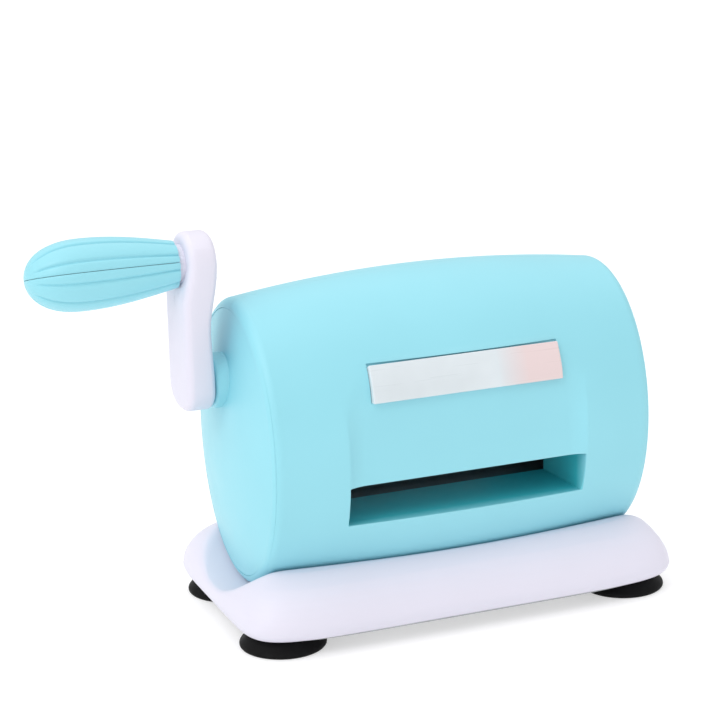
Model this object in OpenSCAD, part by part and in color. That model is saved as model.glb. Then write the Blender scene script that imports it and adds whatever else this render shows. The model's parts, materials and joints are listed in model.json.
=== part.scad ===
// Hand-cranked die cutting machine: a barrel housing with a feed slot right
// through it, two steel rollers, a crank with a free-spinning grip, and a
// cradle base on four suction feet. The barrel lies along X, the crank is at
// -X, the labelled front faces -Y, and the table is z = 0. Sizes in mm.

/* [Barrel] */
// Length of the barrel between its end rims
barrel_len = 128.4; // [126:0.2:160]
// Height of the barrel at its middle
barrel_h = 100.8; // [98:0.2:125]
// Depth of the barrel at its middle, front to back
barrel_d = 82.7; // [76:0.1:104]
// Drop of the barrel's radius from its middle to its rims
barrel_crown = 4.85; // [2:0.05:8]
// Gap between the table and the barrel's lowest point
barrel_lift = 8.2; // [7.5:0.1:14]
// Wall of the barrel and of its end caps
wall = 2.5; // [1.8:0.1:3.5]
// Rounding of the barrel's end rims
rim_round = 4; // [2:0.1:6]
// Width of the rim that stays round each end cap
rim_land = 2.6; // [1.5:0.1:5]
// Height of the dome on each end cap
cap_dome = 6; // [3:0.1:9]
// Depth of the seat that each end cap drops into
cap_seat = 4.5; // [3.5:0.1:6]
// Width of the flange behind each end cap
flange_w = 10; // [8:0.1:14]

/* [Feed slot and label] */
// Width of the feed slot at its mouths
slot_w = 80; // [60:0.5:82]
// Height of the feed slot
slot_h = 12.7; // [9:0.1:16]
// Depth of the feed slot's floor below the barrel's axis
slot_drop = 20.2; // [16:0.1:24]
// Narrowing of the feed slot at the rollers, each side
slot_taper = 2; // [0:0.1:3]
// Wall of the feed slot's floor, roof and sides
slot_wall = 2.2; // [1.5:0.1:3]
// Depth of the flat panels over the slot mouths, inside the barrel's middle
panel_in = 3.95; // [2.6:0.05:6]
// Width of the hollow round along each side of a panel
panel_round = 6; // [3:0.1:9]
// Depth of that hollow round
panel_step = 2; // [1:0.1:3]
// Length of the label strip
label_w = 64; // [40:0.5:76]
// Height of the label strip
label_h = 11.2; // [6:0.1:14]
// Thickness of the label strip
label_t = 1.4; // [1:0.1:1.8]
// Distance of the label strip's middle above the barrel's axis
label_rise = 23.9; // [18:0.1:28]

/* [Base] */
// Overhang of the base past each end rim of the barrel
base_over = 9.8; // [6:0.1:16]
// Overhang of the base past the front and the back of the barrel
base_lip = 1.65; // [1:0.05:6]
// Height of the front and back rims of the base above its underside
base_h = 19.6; // [12:0.1:26]
// Wall of the base
base_wall = 2.2; // [1.6:0.1:3]
// Thickness of the steel plate under the base
plate_under = 1; // [0.6:0.1:1.5]
// Gap between the barrel and its cradle
cradle_gap = 0.3; // [0.1:0.05:0.6]
// Height of a suction foot below the steel plate
foot_h = 4.7; // [4:0.1:8]
// Diameter of a suction foot on the table
foot_d = 27.3; // [20:0.1:30]
// Distance of a foot's middle from the end of the base
foot_in_x = 14.9; // [14:0.1:30]
// Distance of a foot's middle from the front or the back of the base
foot_in_y = 17.3; // [15:0.1:25]

/* [Frame and rollers] */
// Thickness of a side plate
side_t = 2.5; // [1.5:0.1:4]
// Diameter of the pressure rollers
roller_d = 19; // [14:0.1:20]
// Gap between the two rollers
nip = 6.2; // [4.5:0.1:8]
// Height of the lower roller above the slot's floor
roller_proud = 0.6; // [0.2:0.1:1.2]
// Diameter of the roller shafts and of the crank shaft
shaft_d = 8; // [6:0.1:9]
// Radial running clearance of every shaft
run_gap = 0.05; // [0.02:0.01:0.1]
// Wall of the shaft bushes
bush_wall = 1.95; // [1.2:0.05:3]
// Diameter of the tie rods
rod_d = 7; // [5:0.1:8]

/* [Gears] */
// Teeth of the crank pinion
pinion_teeth = 14; // [12:1:18]
// Teeth of the drive gear on the upper roller
drive_teeth = 36; // [30:1:40]
// Module of the crank pinion and the drive gear
drive_mod = 1; // [0.8:0.01:1]
// Teeth of each of the two gears that tie the rollers together
sync_teeth = 24; // [18:1:30]
// Face width of the gears
gear_w = 6; // [4:0.1:7]
// Backlash of each tooth at its pitch circle
backlash = 0.16; // [0.1:0.01:0.3]

/* [Crank] */
// Distance from the crank shaft to the grip's axis
crank_r = 38; // [30:0.2:50]
// Half-width of the arm at the crank shaft
arm_hub_r = 9.5; // [8:0.1:12]
// Half-width of the arm at the grip
arm_tip_r = 8.5; // [7.5:0.1:11]
// Thickness of the arm
arm_t = 8.2; // [6:0.1:11]
// Height of the boss on the crank side's end cap above its dome
boss_h = 3.2; // [1:0.1:6]
// Diameter of that boss
boss_d = 18; // [15:0.1:24]
// Gap between the boss and the arm
arm_gap = 0.7; // [0.3:0.1:2]
// Length of the grip
grip_len = 45.5; // [36:0.5:60]
// Largest diameter of the grip
grip_d = 22; // [18:0.1:26]
// Diameter of the grip at the arm
grip_root_d = 14.6; // [13:0.1:18]
// Gap between the arm and the grip, filled by the spindle's collar
collar_w = 1.6; // [0.8:0.1:4]
// Diameter of the grip's spindle
spindle_d = 7; // [5:0.1:8]
// Tilt of the parting line between the grip's halves
grip_seam = 17; // [0:1:60]

/* [Hidden] */

$fn = 64;
cyan = [0.61, 0.87, 0.92];
white = [0.92, 0.9, 0.96];
steel = [0.62, 0.64, 0.66];
brass = [0.8, 0.68, 0.4];
nylon = [0.88, 0.88, 0.84];
black = [0.1, 0.1, 0.11];
far = 400;
fine = 0.01;

// Barrel
half_len = barrel_len / 2;
mid_r = barrel_h / 2;
squash = barrel_d / barrel_h;
axis_z = barrel_lift + mid_r;
end_r = mid_r - barrel_crown;
cap_r = end_r - rim_land;
cap_gap = 0.15;
cap_back = 0.6;
seam_gap = 0.1;
flange_x = half_len - cap_seat;
flange_t = 2.4;
flange_r = cap_r - flange_w;
steps = 12;

// Feed slot
floor_z = axis_z - slot_drop;
roof_z = floor_z + slot_h;
slot_end = roller_d / 2 + 1.5;
panel_y = barrel_d / 2 - panel_in;
label_gap = 0.15;
label_inset = 0.3;

// Rollers, from the slot's floor up
lower_z = floor_z + roller_proud - roller_d / 2;
upper_z = floor_z + roller_proud + nip + roller_d / 2;
crank_z = upper_z + drive_mod * (pinion_teeth + drive_teeth) / 2;
sync_mod = (upper_z - lower_z) / sync_teeth;

// Frame, measured out from the middle of the barrel
shaft_r = shaft_d / 2;
bush_r = shaft_r + run_gap + bush_wall;
bush_lip = 1.5;
lip_t = 1;
shaft_out = flange_x - flange_t - 0.3;
gear_out = shaft_out - 2;
gear_x = gear_out - gear_w;
plate_out = gear_x - 1;
plate_x = plate_out - side_t;
plate_high = 0.83 * barrel_h;
plate_wide = 0.75 * barrel_d;
roller_len = 2 * (plate_x - 2.1);
bush_out = plate_out + 0.3;
clip_t = 0.8;
clip_deep = 0.8;
crank_clip_x = -plate_x + lip_t;
crank_shaft_in = plate_x - 3.4;
lower_shaft_out = bush_out + 2.2;
m3_r = 1.5;
head_r = 2.8;
head_t = 1.5;
rod_neck = 2.5;
rod_thread = 7;
rod_v = cap_r - wall - head_r - 1.1;
rod_angles = [39, 138];

// Base
base_z = foot_h + plate_under;
base_top = base_z + base_h;
base_len = barrel_len + 2 * base_over;
base_dep = barrel_d + 2 * base_lip;
base_power = 5.9;
base_points = 60;
end_flare = 0.85;
plate_inset = 3.5;
base_screw_x = 32;
base_screw_y = 10;
screw_post_r = 3.6;
post_top = lower_z - roller_d / 2 - 5.5;
foot_top_d = foot_d - 4;
foot_x = base_len / 2 - foot_in_x;
foot_y = base_dep / 2 - foot_in_y;
foot_thread = 8;
stud_r = 5;

// Crank, measured out from the middle of the barrel
crank_off = crank_z - axis_z;
dome_at_boss = half_len - cap_back + cap_dome * (1 - pow(crank_off / cap_r, 2));
boss_out = dome_at_boss + boss_h;
boss_in = half_len - 1;
arm_in = boss_out + arm_gap;
arm_out = arm_in + arm_t;
grip_in = arm_out + collar_w;
grip_out = grip_in + grip_len;
grip_z = crank_z + crank_r;
hub_skin = 2.5;
spindle_seat = 5;
spindle_r = spindle_d / 2;
spindle_out = grip_out - 12;
spindle_thread = 8;
washer_t = 1;
washer_r = spindle_r + 1.8;

// The origin is on the table, under the middle of the whole machine
origin_x = (grip_out - base_len / 2) / 2;

// ---- Shared shapes ----

function crown_r(x) = mid_r - barrel_crown * pow(x / half_len, 2);
function side(v) = v < 0 ? -1 : 1;
function oval(a, b, power, count) = [for (i = [0 : count - 1])
    let (t = 360 * i / count, c = cos(t), s = sin(t))
    [a * side(c) * pow(abs(c), 2 / power), b * side(s) * pow(abs(s), 2 / power)]];

// Half-section of the crowned barrel, drawn in by a distance on every side
function crown_section(inset, out) = concat([[0, -out]],
    [for (i = [0 : steps]) let (x = -out + 2 * out * i / steps) [crown_r(x) - inset, x]],
    [[0, out]]);

// Half-section of the outer barrel with its rounded rims
function rim_section() = let (c = half_len - rim_round) concat([[0, -half_len]],
    [for (a = [-90 : 18 : 0]) [crown_r(c) - rim_round + rim_round * cos(a), -c + rim_round * sin(a)]],
    [for (i = [1 : steps - 1]) let (x = -c + 2 * c * i / steps) [crown_r(x), x]],
    [for (a = [0 : 18 : 90]) [crown_r(c) - rim_round + rim_round * cos(a), c + rim_round * sin(a)]],
    [[0, half_len]]);

// Turns a half-section about the barrel's axis and squashes it front to back
module barrel_turn(section, parts = 1)
    translate([0, 0, axis_z])
        scale([1, squash, 1])
            rotate([0, 90, 0])
                for (i = [1 : parts])
                    rotate([0, 0, 360 * i / parts])
                        rotate_extrude(angle = 360 / parts, $fn = 96)
                            polygon(section);

// A cylinder along X from one x to another, at a height and depth
module bar(from, to, r, z = 0, y = 0)
    translate([min(from, to), y, z])
        rotate([0, 90, 0])
            cylinder(h = abs(to - from), r = r);

module post(from, to, r, x, y)
    translate([x, y, from])
        cylinder(h = to - from, r = r);

// Height and depth of each tie rod, just inside the barrel's flanges
function rod_y(side_y, high) = side_y * squash * rod_v * sin(high ? rod_angles[0] : rod_angles[1]);
function rod_z(high) = axis_z + rod_v * cos(high ? rod_angles[0] : rod_angles[1]);

module at_rods()
    for (side_y = [-1, 1], high = [true, false])
        translate([0, rod_y(side_y, high), rod_z(high)])
            children();

// ---- Barrel housing ----

// Plan of the feed slot, from past the front to the rollers
module slot_plan(grow)
    polygon([[-slot_w / 2 - grow, -far], [slot_w / 2 + grow, -far],
        [slot_w / 2 + grow, -panel_y - panel_step],
        [slot_w / 2 - slot_taper + grow, -slot_end],
        [-slot_w / 2 + slot_taper - grow, -slot_end],
        [-slot_w / 2 - grow, -panel_y - panel_step]]);

// Plan of the panel recess: flat, with a hollow round along each side
module panel_plan() {
    round_r = (panel_round * panel_round + panel_step * panel_step) / (2 * panel_step);
    sweep = asin(panel_round / round_r);
    edge = [for (i = [0 : 6]) let (a = sweep * i / 6)
        [slot_w / 2 - panel_round + round_r * sin(a), -panel_y - round_r * (1 - cos(a))]];
    polygon(concat(edge, [[slot_w / 2, -far], [-slot_w / 2, -far]],
        [for (i = [6 : -1 : 0]) [-edge[i][0], edge[i][1]]]));
}

// Everything that fills the front half's mouth: panel, floor, roof and sides
module mouth_walls()
    intersection() {
        barrel_turn(crown_section(wall / 2, flange_x));
        union() {
            translate([-slot_w / 2 - slot_wall, -panel_y, roof_z])
                cube([slot_w + 2 * slot_wall, slot_wall, mid_r]);
            translate([0, 0, floor_z - slot_wall])
                linear_extrude(slot_h + 2 * slot_wall)
                    slot_plan(slot_wall);
        }
    }

module mouth_cuts() {
    translate([0, 0, floor_z])
        linear_extrude(slot_h)
            slot_plan(0);
    translate([0, 0, roof_z - fine])
        linear_extrude(mid_r)
            panel_plan();
}

// The full barrel without its mouths: skin, end flanges and screw posts
module barrel_tube()
    difference() {
        barrel_turn(rim_section());
        barrel_turn(crown_section(wall, flange_x - flange_t));
        barrel_turn([[0, -far], [flange_r, -far], [flange_r, far], [0, far]]);
        for (s = [-1, 1])
            barrel_turn([[0, s * flange_x], [cap_r, s * flange_x], [cap_r, s * far], [0, s * far]]);
        at_rods()
            bar(-far, far, m3_r);
    }

module half_barrel()
    difference() {
        union() {
            difference() {
                barrel_tube();
                translate([-far, -seam_gap / 2, -far])
                    cube(2 * far);
            }
            mouth_walls();
            intersection() {
                barrel_turn(crown_section(wall / 2, flange_x));
                for (s = [-1, 1])
                    post(0, post_top, screw_post_r, s * base_screw_x, -base_screw_y);
            }
        }
        mouth_cuts();
        for (s = [-1, 1])
            post(0, post_top + 1, m3_r, s * base_screw_x, -base_screw_y);
    }

// A block through the front at the label's place, grown by a gap on each side
module label_block(grow)
    translate([-label_w / 2 - grow, -far, axis_z + label_rise - label_h / 2 - grow])
        cube([label_w + 2 * grow, far, label_h + 2 * grow]);

// Everything deeper than an inset under the label's face. That face runs
// straight along X over the crown, and turns flat where it meets the panel.
module label_core(inset)
    intersection() {
        barrel_turn([[0, -half_len], [mid_r - inset, -half_len], [mid_r - inset, half_len],
            [0, half_len]]);
        translate([-far, inset - panel_y, 0])
            cube(2 * far);
    }

module front_shell()
    color(cyan)
        difference() {
            half_barrel();
            difference() {
                label_block(label_gap);
                label_core(label_inset + label_t);
            }
        }

module rear_shell()
    color(cyan)
        rotate([0, 0, 180])
            half_barrel();

module label_strip()
    color(white)
        difference() {
            intersection() {
                label_block(0);
                label_core(label_inset);
            }
            label_core(label_inset + label_t);
        }

// Half-section of an end cap, along +X: a dome on a short skirt
function dome(r, drop) = half_len - cap_back - drop + cap_dome * (1 - pow(r / cap_r, 2));
function cap_section() = let (r = cap_r - cap_gap) concat(
    [[r, flange_x], [r, dome(r, 0)]],
    [for (i = [steps - 1 : -1 : 0]) [r * i / steps, dome(r * i / steps, 0)]],
    [for (i = [0 : steps - 1]) [(r - wall) * i / steps, dome((r - wall) * i / steps, wall)]],
    [[r - wall, dome(r - wall, wall)], [r - wall, flange_x]]);

module end_cap()
    barrel_turn(cap_section(), 4);

module plain_side_cap()
    color(cyan)
        end_cap();

module crank_side_cap()
    color(cyan)
        difference() {
            union() {
                mirror([1, 0, 0])
                    end_cap();
                bar(-boss_in, -boss_out, boss_d / 2, crank_z);
            }
            bar(-far, 0, bush_r, crank_z);
        }

// ---- Base ----

// Levels of the flared base: height, and how far its sides have drawn in
base_flare = [[0, 2.2], [0.07, 0.7], [0.18, 0], [0.45, 1.4], [0.7, 4.6], [0.92, 9.8], [1, 12.2]];

module base_block(inset)
    hull()
        for (step = base_flare)
            translate([0, 0, base_z + step[0] * (base_h - inset)])
                linear_extrude(fine)
                    polygon(oval(base_len / 2 - inset - step[1] * end_flare,
                        base_dep / 2 - inset - step[1], base_power, base_points));

// The barrel's own section grown by a gap, carried on past both its rims
module trough(grow)
    barrel_turn(concat([[0, -base_len], [end_r + grow, -base_len]],
        [for (i = [0 : steps]) let (x = half_len * (2 * i / steps - 1)) [crown_r(x) + grow, x]],
        [[end_r + grow, base_len], [0, base_len]]));

module at_feet()
    for (x = [-1, 1], y = [-1, 1])
        translate([x * foot_x, y * foot_y, 0])
            children();

module at_base_screws()
    for (x = [-1, 1], y = [-1, 1])
        translate([x * base_screw_x, y * base_screw_y, 0])
            children();

module base_cradle()
    color(white)
        difference() {
            base_block(0);
            trough(cradle_gap);
            difference() {
                translate([0, 0, -base_wall])
                    base_block(base_wall);
                trough(cradle_gap + base_wall);
                at_feet()
                    post(0, base_top, stud_r, 0, 0);
            }
            at_feet()
                post(0, base_z + foot_thread + 2, m3_r, 0, 0);
            at_base_screws()
                post(0, axis_z, m3_r, 0, 0);
        }

module base_plate()
    color(steel)
        difference() {
            translate([0, 0, foot_h])
                linear_extrude(plate_under)
                    polygon(oval(base_len / 2 - plate_inset, base_dep / 2 - plate_inset,
                        base_power, base_points));
            at_feet()
                post(0, far, m3_r, 0, 0);
            at_base_screws()
                post(0, far, m3_r, 0, 0);
        }

// A flared rubber cup: hollow below, with a well for its screw
module foot(x, y)
    color(black)
        translate([x * foot_x, y * foot_y, 0])
            rotate_extrude()
                polygon([[m3_r, foot_h], [foot_top_d / 2, foot_h], [foot_d / 2 - 0.9, foot_h * 0.5],
                    [foot_d / 2, foot_h * 0.24], [foot_d / 2 - 0.4, 0], [foot_d / 2 - 3, 0],
                    [foot_d / 2 - 5, foot_h * 0.3], [head_r + 0.2, foot_h * 0.42],
                    [head_r + 0.2, foot_h - 1], [m3_r, foot_h - 1]]);

// A pan-head screw standing on its head, thread upward
module screw(from, to)
    rotate_extrude()
        polygon([[0, from - head_t], [head_r, from - head_t], [head_r, from], [m3_r, from],
            [m3_r, to], [0, to]]);

module foot_screws()
    color(steel)
        at_feet()
            screw(foot_h - 1, base_z + foot_thread);

module base_screws()
    color(steel)
        at_base_screws()
            screw(foot_h, post_top - 0.5);

// ---- Frame ----

// Outline of a side plate: the barrel's inner section, cut off flat all round
module plate_outline()
    intersection() {
        polygon([for (i = [0 : 47]) let (r = crown_r(plate_out) - wall - 1)
            [r * cos(7.5 * i), squash * r * sin(7.5 * i)]]);
        square([plate_high, plate_wide], center = true);
    }

module frame_plate(bearings)
    difference() {
        translate([plate_x, 0, axis_z])
            rotate([0, 90, 0])
                linear_extrude(side_t)
                    plate_outline();
        for (z = bearings)
            bar(0, far, bush_r, z);
        at_rods()
            bar(0, far, rod_neck);
    }

module gear_side_plate()
    color(steel)
        frame_plate([lower_z, upper_z]);

module crank_side_plate()
    color(steel)
        mirror([1, 0, 0])
            frame_plate([lower_z, upper_z, crank_z]);

module tie_rod(side_y, high)
    color(steel)
        translate([0, rod_y(side_y, high), rod_z(high)])
            difference() {
                union() {
                    bar(-plate_x, plate_x, rod_d / 2);
                    bar(-flange_x + flange_t, flange_x - flange_t, rod_neck);
                }
                for (s = [-1, 1])
                    bar(s * (flange_x - flange_t - rod_thread - 1), s * far, m3_r);
            }

module rod_spacers()
    color(nylon)
        at_rods()
            for (s = [-1, 1])
                difference() {
                    bar(s * plate_out, s * (flange_x - flange_t), rod_d / 2);
                    bar(-far, far, rod_neck);
                }

module rod_screws()
    color(steel)
        at_rods()
            for (s = [-1, 1]) {
                bar(s * (flange_x - flange_t - rod_thread), s * flange_x, m3_r);
                bar(s * flange_x, s * (flange_x + head_t), head_r);
            }

// A flanged bush, lip inside, for a shaft through the side plate at +X
module bush(z)
    color(brass)
        difference() {
            union() {
                bar(plate_x - lip_t, plate_x, bush_r + bush_lip, z);
                bar(plate_x - fine, bush_out, bush_r, z);
            }
            bar(0, far, shaft_r + run_gap, z);
        }

module crank_cap_bush()
    color(brass)
        difference() {
            union() {
                bar(-boss_in, -boss_in + lip_t, bush_r + bush_lip, crank_z);
                bar(-boss_in + fine, -boss_out, bush_r, crank_z);
            }
            bar(-far, 0, shaft_r + run_gap, crank_z);
        }

// ---- Rollers and gears ----

module roller(z)
    color(steel)
        difference() {
            bar(-roller_len / 2, roller_len / 2, roller_d / 2, z);
            bar(-far, far, shaft_r, z);
        }

// A turned shaft with a groove for each clip
module shaft(from, to, z, grooves)
    color(steel)
        difference() {
            bar(from, to, shaft_r, z);
            for (g = grooves)
                difference() {
                    bar(g, g + clip_t, shaft_r + 1, z);
                    bar(g - 1, g + clip_t + 1, shaft_r - clip_deep, z);
                }
        }

module clip(x, z)
    difference() {
        bar(x, x + clip_t, shaft_r + 2, z);
        bar(x - 1, x + 2, shaft_r - clip_deep, z);
        translate([x - 1, -shaft_r * 0.6, z - far])
            cube([3, shaft_r * 1.2, far]);
    }

// Involute gear teeth. The pressure angle and short addendum let small
// pinions run without undercut.
pressure = 25;
addendum = 0.85;
dedendum = 1.15;
function inv(a) = tan(a) * 180 / PI - a;
function tooth_half(teeth, mod, r) = let (pitch = teeth * mod / 2, base = pitch * cos(pressure))
    90 / teeth - backlash / (4 * pitch) * 180 / PI + inv(pressure)
    - (r > base ? inv(acos(base / r)) : 0);
function gear_points(teeth, mod, turn) = let (
        pitch = teeth * mod / 2,
        root = pitch - dedendum * mod,
        tip = pitch + addendum * mod,
        base = max(root + 0.02, pitch * cos(pressure)),
        levels = [root, base, (base + pitch) / 2, pitch, (pitch + tip) / 2, tip])
    [for (k = [0 : teeth - 1], i = [0 : 11])
        let (r = levels[i < 6 ? i : 11 - i],
            a = turn + 360 * k / teeth + (i < 6 ? -1 : 1) * tooth_half(teeth, mod, r))
        [r * cos(a), r * sin(a)]];

// turn = 0 puts a tooth straight up; half a pitch puts a gap straight down
module gear(x, z, teeth, mod, turn)
    translate([x, 0, z])
        rotate([90, 0, 90])
            linear_extrude(gear_w)
                difference() {
                    polygon(gear_points(teeth, mod, 90 + turn));
                    circle(r = shaft_r);
                }

// Turn that brings a gap of an upper gear over the tooth that points up below
function gap_below(teeth) = 180 + 180 / teeth;

module upper_roller() roller(upper_z);
module lower_roller() roller(lower_z);

module upper_shaft()
    shaft(-shaft_out, shaft_out, upper_z, [-gear_out - clip_t, gear_out]);

module lower_shaft()
    shaft(-lower_shaft_out, shaft_out, lower_z, [-bush_out - clip_t, gear_out]);

module drive_gear()
    color(nylon)
        gear(-gear_out, upper_z, drive_teeth, drive_mod, 0);

module upper_sync_gear()
    color(nylon)
        gear(gear_x, upper_z, sync_teeth, sync_mod, gap_below(sync_teeth));

module lower_sync_gear()
    color(nylon)
        gear(gear_x, lower_z, sync_teeth, sync_mod, 0);

module upper_clips()
    color(steel) {
        clip(-gear_out - clip_t, upper_z);
        clip(gear_out, upper_z);
    }

module lower_clips()
    color(steel) {
        clip(-bush_out - clip_t, lower_z);
        clip(gear_out, lower_z);
    }

// ---- Crank and grip ----

module crank_shaft()
    shaft(-arm_out + hub_skin, -crank_shaft_in, crank_z, [crank_clip_x]);

module drive_pinion()
    color(nylon)
        gear(-gear_out, crank_z, pinion_teeth, drive_mod, gap_below(pinion_teeth));

module crank_clip()
    color(steel)
        clip(crank_clip_x, crank_z);

// The arm's side view: a disc at each end and their common tangents
module arm_outline() {
    lean = asin((arm_hub_r - arm_tip_r) / crank_r);
    circle(r = arm_hub_r);
    translate([0, crank_r])
        circle(r = arm_tip_r);
    polygon([[arm_hub_r * cos(lean), arm_hub_r * sin(lean)],
        [arm_tip_r * cos(lean), crank_r + arm_tip_r * sin(lean)],
        [-arm_tip_r * cos(lean), crank_r + arm_tip_r * sin(lean)],
        [-arm_hub_r * cos(lean), arm_hub_r * sin(lean)]]);
}

module crank_arm()
    color(white)
        difference() {
            translate([-arm_out, 0, crank_z])
                rotate([90, 0, 90])
                    linear_extrude(arm_t)
                        arm_outline();
            bar(-arm_out + hub_skin, 0, shaft_r, crank_z);
            bar(-far, -arm_out + spindle_seat, spindle_r, grip_z);
        }

module grip_spindle()
    color(white)
        difference() {
            union() {
                bar(-arm_out + spindle_seat, -spindle_out, spindle_r, grip_z);
                bar(-arm_out, -grip_in, grip_root_d / 2 - 0.6, grip_z);
            }
            bar(-spindle_out + spindle_thread + 1, -far, m3_r, grip_z);
        }

module spindle_washer()
    color(steel)
        difference() {
            bar(-spindle_out, -spindle_out - washer_t, washer_r, grip_z);
            bar(-far, 0, m3_r, grip_z);
        }

module spindle_screw()
    color(steel) {
        bar(-spindle_out + spindle_thread, -spindle_out - washer_t, m3_r, grip_z);
        bar(-spindle_out - washer_t, -spindle_out - washer_t - head_t, head_r, grip_z);
    }

// Radius of the gourd-shaped grip at a share of its length
function grip_swell(t) = let (root = grip_root_d / 2, top = grip_d / 2, peak = 0.62)
    t < peak ? root + (top - root) * sin(90 * t / peak)
    : top * sqrt(max(0, 1 - pow((t - peak) / (1 - peak), 2.4)));

module grip_solid()
    translate([0, 0, grip_z])
        rotate([0, -90, 0])
            rotate_extrude()
                polygon(concat([[0, grip_in + 0.1]],
                    [for (i = [0 : 20]) [grip_swell(i / 20), grip_in + 0.1 + (grip_len - 0.1) * i / 20]]));

module half_grip(turn)
    color(cyan)
        difference() {
            intersection() {
                grip_solid();
                translate([0, 0, grip_z])
                    rotate([turn - grip_seam, 0, 0])
                        translate([-far, -far / 2, fine])
                            cube([far, far, far]);
            }
            bar(0, -spindle_out + 0.1, spindle_r + run_gap, grip_z);
            bar(-spindle_out + 0.1, -spindle_out - washer_t - head_t - 1, washer_r + 0.4, grip_z);
        }

module grip_upper_half() half_grip(0);
module grip_lower_half() half_grip(180);

// ---- Placing ----

module at_origin()
    translate([origin_x, 0, 0])
        children();

at_origin() front_shell();
at_origin() rear_shell();
at_origin() crank_side_cap();
at_origin() plain_side_cap();
at_origin() label_strip();
at_origin() base_cradle();
at_origin() base_plate();
at_origin() foot(-1, -1);  // foot_front_left
at_origin() foot(1, -1);  // foot_front_right
at_origin() foot(-1, 1);  // foot_rear_left
at_origin() foot(1, 1);  // foot_rear_right
at_origin() foot_screws();
at_origin() base_screws();
at_origin() crank_side_plate();
at_origin() gear_side_plate();
at_origin() tie_rod(-1, true);  // rod_front_top
at_origin() tie_rod(-1, false);  // rod_front_low
at_origin() tie_rod(1, true);  // rod_rear_top
at_origin() tie_rod(1, false);  // rod_rear_low
at_origin() rod_spacers();
at_origin() rod_screws();
at_origin() upper_roller();
at_origin() upper_shaft();
at_origin() drive_gear();
at_origin() upper_sync_gear();
at_origin() upper_clips();
at_origin() lower_roller();
at_origin() lower_shaft();
at_origin() lower_sync_gear();
at_origin() lower_clips();
at_origin() mirror([1, 0, 0]) bush(upper_z);  // upper_left_bush
at_origin() bush(upper_z);  // upper_right_bush
at_origin() mirror([1, 0, 0]) bush(lower_z);  // lower_left_bush
at_origin() bush(lower_z);  // lower_right_bush
at_origin() mirror([1, 0, 0]) bush(crank_z);  // crank_plate_bush
at_origin() crank_cap_bush();
at_origin() crank_shaft();
at_origin() drive_pinion();
at_origin() crank_clip();
at_origin() crank_arm();
at_origin() grip_spindle();
at_origin() spindle_washer();
at_origin() spindle_screw();
at_origin() grip_upper_half();
at_origin() grip_lower_half();
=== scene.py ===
"""Die cutting machine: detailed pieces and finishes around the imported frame."""

import json
import math

import bmesh
import bpy
from mathutils import Matrix, Vector


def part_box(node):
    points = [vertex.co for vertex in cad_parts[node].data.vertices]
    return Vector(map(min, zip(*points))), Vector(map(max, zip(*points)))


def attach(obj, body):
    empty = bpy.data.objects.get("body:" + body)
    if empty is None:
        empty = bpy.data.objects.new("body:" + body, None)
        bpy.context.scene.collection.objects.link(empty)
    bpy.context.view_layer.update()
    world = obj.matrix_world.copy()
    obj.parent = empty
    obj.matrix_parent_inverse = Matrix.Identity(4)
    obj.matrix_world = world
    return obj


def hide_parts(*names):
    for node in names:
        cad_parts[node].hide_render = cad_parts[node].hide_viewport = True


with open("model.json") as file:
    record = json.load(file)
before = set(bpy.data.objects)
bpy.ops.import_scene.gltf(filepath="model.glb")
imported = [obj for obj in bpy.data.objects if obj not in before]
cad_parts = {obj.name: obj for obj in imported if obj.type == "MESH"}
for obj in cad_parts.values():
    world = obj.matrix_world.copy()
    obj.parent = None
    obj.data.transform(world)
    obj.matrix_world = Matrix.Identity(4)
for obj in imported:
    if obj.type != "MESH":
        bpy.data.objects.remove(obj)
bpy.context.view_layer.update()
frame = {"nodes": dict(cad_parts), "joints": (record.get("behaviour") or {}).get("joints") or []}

bl_info = {
    "name": "Die Cutting Machine",
    "version": (1, 0, 0),
    "blender": (4, 5, 0),
    "location": "3D View > Sidebar > Die Cutter",
    "description": "Builds the detailed pieces of a hand-cranked die cutting machine",
    "category": "Object",
}

MM = 0.001


# ---- Sizes taken from the frame, in millimetres, measured from the barrel's middle ----

def node_box(node):
    low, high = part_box(node)
    return low / MM, high / MM


def joint_height(name):
    for joint in frame["joints"]:
        if joint["name"] == name:
            return joint["pos_m"][2] / MM
    raise RuntimeError("the frame has no joint named " + name)


SHELL_LOW, SHELL_HIGH = node_box("front_shell")
LABEL_LOW, LABEL_HIGH = node_box("label_strip")
BASE_LOW, BASE_HIGH = node_box("base_cradle")
FOOT_LOW, FOOT_HIGH = node_box("foot_front_right")
ARM_LOW, ARM_HIGH = node_box("crank_arm")
GRIP_LOW, GRIP_HIGH = node_box("grip_upper_half")
CAP_LOW, _ = node_box("crank_side_cap")

MIDDLE_X = (SHELL_LOW.x + SHELL_HIGH.x) / 2
AXIS_Z = (SHELL_LOW.z + SHELL_HIGH.z) / 2
HALF_LEN = (SHELL_HIGH.x - SHELL_LOW.x) / 2
MID_R = (SHELL_HIGH.z - SHELL_LOW.z) / 2
SQUASH = -SHELL_LOW.y / MID_R
CRANK_Z = joint_height("crank_turn")
GRIP_Z = joint_height("grip_spin")
BOSS_OUT = MIDDLE_X - CAP_LOW.x
ARM_IN = MIDDLE_X - ARM_HIGH.x
ARM_OUT = MIDDLE_X - ARM_LOW.x
GRIP_IN = MIDDLE_X - GRIP_HIGH.x
GRIP_OUT = MIDDLE_X - GRIP_LOW.x

# The barrel and its caps
CROWN = 4.85
RIM_ROUND = 4.0
CAP_R = 42.95
CAP_BACK = 0.2
CAP_DOME = 5.6
CAP_FIT = 0.04
CAP_EDGE = 0.3
CAP_WALL = 2.2
SEAT_X = HALF_LEN - 4.5
SEAT_GAP = 0.05
SEAT_DEEP = 3.0
BOSS_R = 8.6
BOSS_BORE = 5.95
BOSS_LIP = 1.1
BOSS_PROUD = 0.45
SEAM_GAP = 0.04
SHELL_WALL = 1.7
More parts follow.
